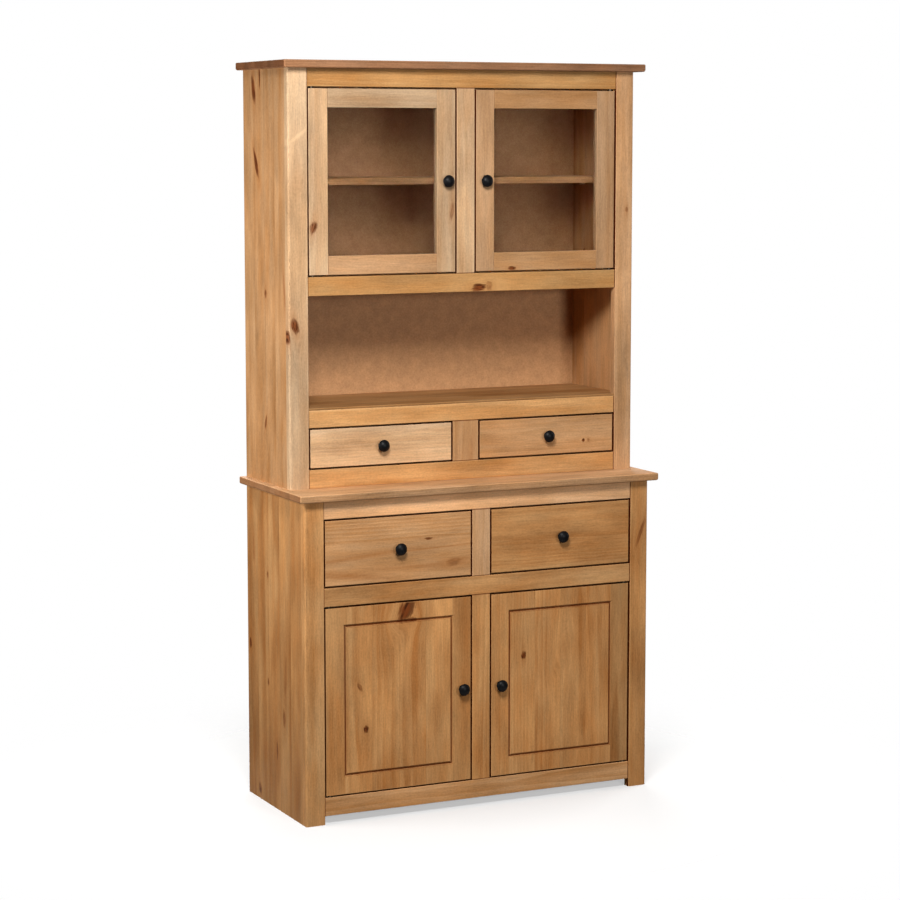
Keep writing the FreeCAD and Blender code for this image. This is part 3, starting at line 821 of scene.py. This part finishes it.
# Edge-glued tops, sides and inner boards
dress_pine("hutch_top", DUSKY, 0.9, strips=True)
dress_pine("base_top", TAN, 1.04, strips=True)
dress_pine("hutch_side_left", SAND, 0.81, strips=True, knots=[
    Knot(1709, 126, 30, 10, 1.0, 0.15), Knot(1738, 87, 26, 4, 1.0), Knot(1535, 112, 32, 9, 1.0, 0.4),
    Knot(1230, 58, 9, 7, 0.6), Knot(1243, -59, 40, 6, 0.23, 0.12), Knot(924, 63, 16, 5, 0.7, -0.3)])
dress_pine("hutch_side_right", SAND, 0.98, strips=True, knots=[
    Knot(1074, -19, 9, 6, 0.8), Knot(1500, 60, 10, 7, 0.8), Knot(1310, 130, 7, 5, 0.6),
    Knot(860, -40, 6, 5, 0.7)])
dress_pine("base_side_left", BROWN, 1.0, strips=True, knots=[
    Knot(374, 176, 12, 6, 1.0), Knot(143, 6, 20, 4, 0.7), Knot(26, 119, 14, 8, 0.7, 0.2),
    Knot(610, 150, 34, 6, 0.2, 0.1), Knot(560, 60, 8, 5, 0.5), Knot(330, -50, 46, 7, 0.2, -0.08),
    Knot(230, -40, 20, 5, 0.45), Knot(300, 60, 8, 5, 0.6)])
dress_pine("base_side_right", BROWN, 1.0, strips=True, knots=[
    Knot(520, 20, 10, 7, 0.8), Knot(230, 110, 11, 7, 0.7), Knot(420, -90, 6, 4, 0.6)])
for node in ("base_floor", "base_shelf", "cabinet_floor"):
    dress_pine(node, HONEY, 0.85, grain="X", strips=True)
dress_pine("cabinet_shelf", SAND, 1.0, grain="X", strips=True)
dress_pine("niche_floor", HONEY, 0.76, grain="X", strips=True)
dress_pine("drawer_partitions", RAW, 0.9, grain="Y")
dress_pine("drawer_runners", RAW, 0.85, grain="Y")

# Glazed doors
GLASS_DOOR_BOARDS = {
    ("left", "left_stile"): Board(PALE, 0.76, [Knot(1388, -391, 13, 8, 0.8, 0.2)]),
    ("left", "right_stile"): Board(PALE, 0.67, [Knot(1421, -37, 20, 5, 0.4, 0.1, 0.2)]),
    ("left", "low_rail"): Board(TAN, 0.79),
    ("left", "high_rail"): Board(PALE, 0.58),
    ("right", "left_stile"): Board(TAN, 0.69),
    ("right", "right_stile"): Board(TAN, 0.66),
    ("right", "low_rail"): Board(SAND, 0.86, [Knot(123, 1283, 9, 5, 1.0)]),
    ("right", "high_rail"): Board(SAND, 0.74),
}

# Panelled doors, with upright boards all through
GROOVE_DEPTH = 3.5 * MM
PANEL_DOOR_BOARDS = {
    ("left", "left_board"): Board(BROWN, 1.18),
    ("left", "centre_board"): Board(BROWN, 1.26, [
        Knot(494, -196, 26, 19, 1.0, 0.35), Knot(468, -196, 6, 16, 0.55),
        Knot(319, -316, 9, 5, 0.5, -0.4, 0.8), Knot(217, -301, 8, 6, 1.0)]),
    ("left", "right_board"): Board(BROWN, 1.13),
    ("right", "left_board"): Board(BROWN, 1.26),
    ("right", "centre_board"): Board(BROWN, 1.19, [
        Knot(356, 114, 9, 6, 1.0), Knot(316, 204, 8, 7, 0.0, 0.3, 0.7),
        Knot(372, 226, 22, 12, 0.0, 0.1, 0.55)]),
    ("right", "right_board"): Board(BROWN, 0.91),
}


def dress_door(node, hand, layout, boards, groove=0.0):
    """Gives each board of a door its pine, with painted shade round the whole door and in any groove."""
    low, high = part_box(node)
    dressed = []
    for name, ends in layout(low, high).items():
        board = boards[hand, name]
        wood = pine(f"{node}_{name}", *ends, board.palette, board.light, knots=board.knots,
                    strips=name == "centre_board", stained=Stain(low, high, groove))
        dressed.append((*ends, wood))
    dress_boards(node, dressed)


for hand in HANDS:
    dress_door(f"glass_door_{hand}_frame", hand, frame_boards, GLASS_DOOR_BOARDS)
    dress_door(f"panel_door_{hand}_boards", hand, panel_boards, PANEL_DOOR_BOARDS, GROOVE_DEPTH)

# Drawers
DRAWER_FRONTS = {
    "hutch_drawer_left": Board(PALE, 0.92),
    "hutch_drawer_right": Board(SAND, 0.95, [
        Knot(321, 858, 4, 4, 1.0, 0.0, -0.9), Knot(335, 858, 3, 3, 0.4, 0.0, 0.5)]),
    "base_drawer_left": Board(SAND, 1.03, [
        Knot(-138, 658, 9, 3, 0.8), Knot(-324, 626, 70, 4, 0.0, 0.08, 1.2),
        Knot(-355, 585, 49, 7, 0.0, -0.1, 1.3), Knot(-114, 594, 62, 5, 0.0, 0.0, 1.1),
        Knot(-70, 598, 18, 6, 0.25, 0.1, 1.5), Knot(-116, 637, 75, 2, 0.0, 0.03, 1.2)]),
    "base_drawer_right": Board(BROWN, 1.11),
}
BOX_LIGHT = 0.95


def dress_drawer(body, board):
    """Gives a drawer's front its pine with painted shade on its edges, and its box raw pine with a hardboard
    bottom.
    """
    front = f"{body}_front"
    dress_pine(front, board.palette, board.light, stained=Stain(*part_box(front)), knots=board.knots)
    box = f"{body}_box"
    dressed = []
    for name, ends in box_boards(*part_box(box)).items():
        if name == "bottom":
            material = hardboard(f"hardboard {box}")
        else:
            material = pine(f"{box}_{name}", *ends, RAW, BOX_LIGHT)
        dressed.append((*ends, material))
    dress_boards(box, dressed)


for body, board in DRAWER_FRONTS.items():
    dress_drawer(body, board)

# Backs, glass, pegs and metal
BACKS = ("base_back", "hutch_back")
back_board = hardboard("hardboard backs")
for node in BACKS:
    dress(node, back_board)
pane_glass = window_glass("window glass")
iron = black_iron("black iron")
dull_steel = steel("bronzed steel")
dress("hinge_pivots", dull_steel)
dress("wooden_pegs", beech("beech pegs"))
for hand in HANDS:
    dress(f"glass_door_{hand}_pane", pane_glass)
    dress_pine(f"glass_door_{hand}_beads", PALE, 0.8, grain="Z")
    for door in ("glass_door", "panel_door"):
        dress(f"{door}_{hand}_hinge_plates", dull_steel)
    for body in ("glass_door", "panel_door", "base_drawer", "hutch_drawer"):
        dress(f"{body}_{hand}_knob", iron)


# Nails that hold the backs

NAIL_RADIUS = 2.2 * MM
NAIL_RISE = 0.7 * MM
NAIL_SPACING = 130 * MM
NAIL_INSET = 4 * MM
NAIL_SIDES = 20

# A nail head's rounded shoulder: shares of its radius and of its rise
NAIL_PROFILE = ((1.0, 0.0), (0.94, 0.55), (0.75, 0.88), (0.4, 1.0))


def nail_head(mesh, centre):
    """Low round head that faces +Y, with a rounded shoulder."""
    rings = []
    for share, rise in NAIL_PROFILE:
        reach = NAIL_RADIUS * share
        ring = []
        for step in range(NAIL_SIDES):
            turn = 2 * math.pi * step / NAIL_SIDES
            offset = Vector((reach * math.cos(turn), NAIL_RISE * rise, reach * math.sin(turn)))
            ring.append(mesh.verts.new(centre + offset))
        rings.append(ring)
    for inner, outer in zip(rings[1:], rings):
        for step in range(NAIL_SIDES):
            after = (step + 1) % NAIL_SIDES
            mesh.faces.new((outer[step], inner[step], inner[after], outer[after]))
    mesh.faces.new(reversed(rings[-1]))
    mesh.faces.new(rings[0])


def spaced(start, end, spacing):
    """Evenly spaced places from start to end, about spacing apart."""
    count = max(1, round((end - start) / spacing))
    return [start + (end - start) * step / count for step in range(count + 1)]


def add_object(name, mesh, material):
    """A scene object with the mesh and one material. The mesh is freed."""
    data = bpy.data.meshes.new(name)
    mesh.to_mesh(data)
    mesh.free()
    data.materials.append(material)
    made = bpy.data.objects.new(name, data)
    bpy.context.scene.collection.objects.link(made)
    return made


def back_nails(node):
    """Nail heads round the rim of one back panel."""
    low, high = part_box(node)
    mesh = bmesh.new()
    for x in spaced(low.x + NAIL_INSET, high.x - NAIL_INSET, NAIL_SPACING):
        for z in (low.z + NAIL_INSET, high.z - NAIL_INSET):
            nail_head(mesh, Vector((x, high.y, z)))
    for z in spaced(low.z + NAIL_INSET, high.z - NAIL_INSET, NAIL_SPACING)[1:-1]:
        for x in (low.x + NAIL_INSET, high.x - NAIL_INSET):
            nail_head(mesh, Vector((x, high.y, z)))
    bmesh.ops.recalc_face_normals(mesh, faces=mesh.faces)
    piece = add_object(f"{node}_nails", mesh, dull_steel)
    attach(piece, "carcass")


for node in BACKS:
    back_nails(node)


# Floor, light and camera

# Floor: its disc, where it fades out, how clear its middle is, the bounced light it loses, and its looks
FLOOR_RADIUS = 4.0
FLOOR_SIDES = 96
FLOOR_FADE = (0.35, 1.3)
FLOOR_HAZE = 0.45
FLOOR_BOUNCE_LOSS = 0.85
FLOOR_COLOURS = ((0.9, 0.9, 0.895, 1.0), (0.94, 0.94, 0.935, 1.0))
FLOOR_ROUGHNESS = (0.75, 0.85)
FLOOR_CLOUDS = 1.2
FLOOR_GRAINS = 60.0


def pale_floor():
    """Pale matt floor round the dresser that fades out into the white studio."""
    material, graph, shader = new_material("pale floor")
    x, y, z = graph.place()
    cloud = graph.noise(x * FLOOR_CLOUDS, y * FLOOR_CLOUDS, z)
    grain = graph.noise(x * FLOOR_GRAINS, y * FLOOR_GRAINS, z)
    set_shader(graph, shader, Base_Color=graph.mix(cloud, *FLOOR_COLOURS),
               Roughness=grain.between(*FLOOR_ROUGHNESS), Specular_IOR_Level=0.1)
    faded = graph.rise(graph.length(x, y), *FLOOR_FADE).between(FLOOR_HAZE, 1.0)
    bounce = graph.light_path("Is Diffuse Ray") * FLOOR_BOUNCE_LOSS
    let_through(material, graph, shader, graph.larger(faded, bounce))
    mesh = bmesh.new()
    bmesh.ops.create_circle(mesh, cap_ends=True, segments=FLOOR_SIDES, radius=FLOOR_RADIUS)
    floor = add_object("floor", mesh, material)


def aim(thing, place, target):
    """Puts a lamp or camera in its place, looking at a target."""
    thing.location = place
    thing.rotation_mode = "QUATERNION"
    thing.rotation_quaternion = (Vector(target) - Vector(place)).to_track_quat("-Z", "Y")


def softbox(name, place, aim_height, width, height, power):
    """Rectangular lamp that is aimed at the dresser's middle line and isn't seen itself."""
    data = bpy.data.lights.new(name, "AREA")
    data.shape = "RECTANGLE"
    data.size = width
    data.size_y = height
    data.energy = power
    light = bpy.data.objects.new(name, data)
    light.visible_camera = False
    bpy.context.scene.collection.objects.link(light)
    aim(light, place, (0.0, 0.0, aim_height))


def studio_sky(seen, cast):
    """White surroundings: one strength to the eye, also through glass, and one for the light they cast."""
    world = bpy.data.worlds.new("studio")
    world.use_nodes = True
    graph = Graph(world.node_tree)
    turns = graph.light_path("Diffuse Depth") + graph.light_path("Glossy Depth")
    through_pane = graph.light_path("Is Transmission Ray") * graph.math("LESS_THAN", turns, 0.5)
    to_eye = graph.larger(graph.light_path("Is Camera Ray"), through_pane)
    sky = world.node_tree.nodes["Background"]
    sky.inputs["Color"].default_value = WHITE
    graph.feed(sky.inputs["Strength"], to_eye.between(cast, seen))
    bpy.context.scene.world = world


pale_floor()
studio_sky(seen=1.0, cast=0.04)
softbox("key", place=(-1.0, -1.8, 2.42), aim_height=1.1, width=0.65, height=0.65, power=63.0)
softbox("front", place=(0.35, -4.2, 1.5), aim_height=1.1, width=0.5, height=0.5, power=50.0)
softbox("left", place=(-1.7, 0.1, 1.15), aim_height=1.1, width=0.9, height=0.9, power=22.0)
softbox("right", place=(2.4, 0.5, 1.5), aim_height=1.0, width=1.4, height=1.4, power=40.0)
softbox("rear", place=(0.9, 3.2, 2.4), aim_height=0.9, width=2.2, height=1.8, power=80.0)

# Camera: place and turn in the part's frame, lens and sensor in millimetres, and shift in picture widths
CAMERA_PLACE = Vector((-2.6147, -5.4361, 1.5899))
CAMERA_YAW = math.radians(25.681)
CAMERA_PITCH = math.radians(-6.559)
CAMERA_LENS = 100.168
CAMERA_SENSOR = 36.0
CAMERA_SHIFT = -0.025


def photo_camera():
    """Camera at the photo's viewing angle."""
    data = bpy.data.cameras.new("camera")
    data.sensor_width = CAMERA_SENSOR
    data.lens = CAMERA_LENS
    data.shift_y = CAMERA_SHIFT
    camera = bpy.data.objects.new("camera", data)
    bpy.context.scene.collection.objects.link(camera)
    ahead = Vector((
        math.sin(CAMERA_YAW) * math.cos(CAMERA_PITCH),
        math.cos(CAMERA_YAW) * math.cos(CAMERA_PITCH),
        math.sin(CAMERA_PITCH)))
    aim(camera, CAMERA_PLACE, CAMERA_PLACE + ahead)
    bpy.context.scene.camera = camera


photo_camera()
bpy.context.scene.view_settings.view_transform = "Standard"
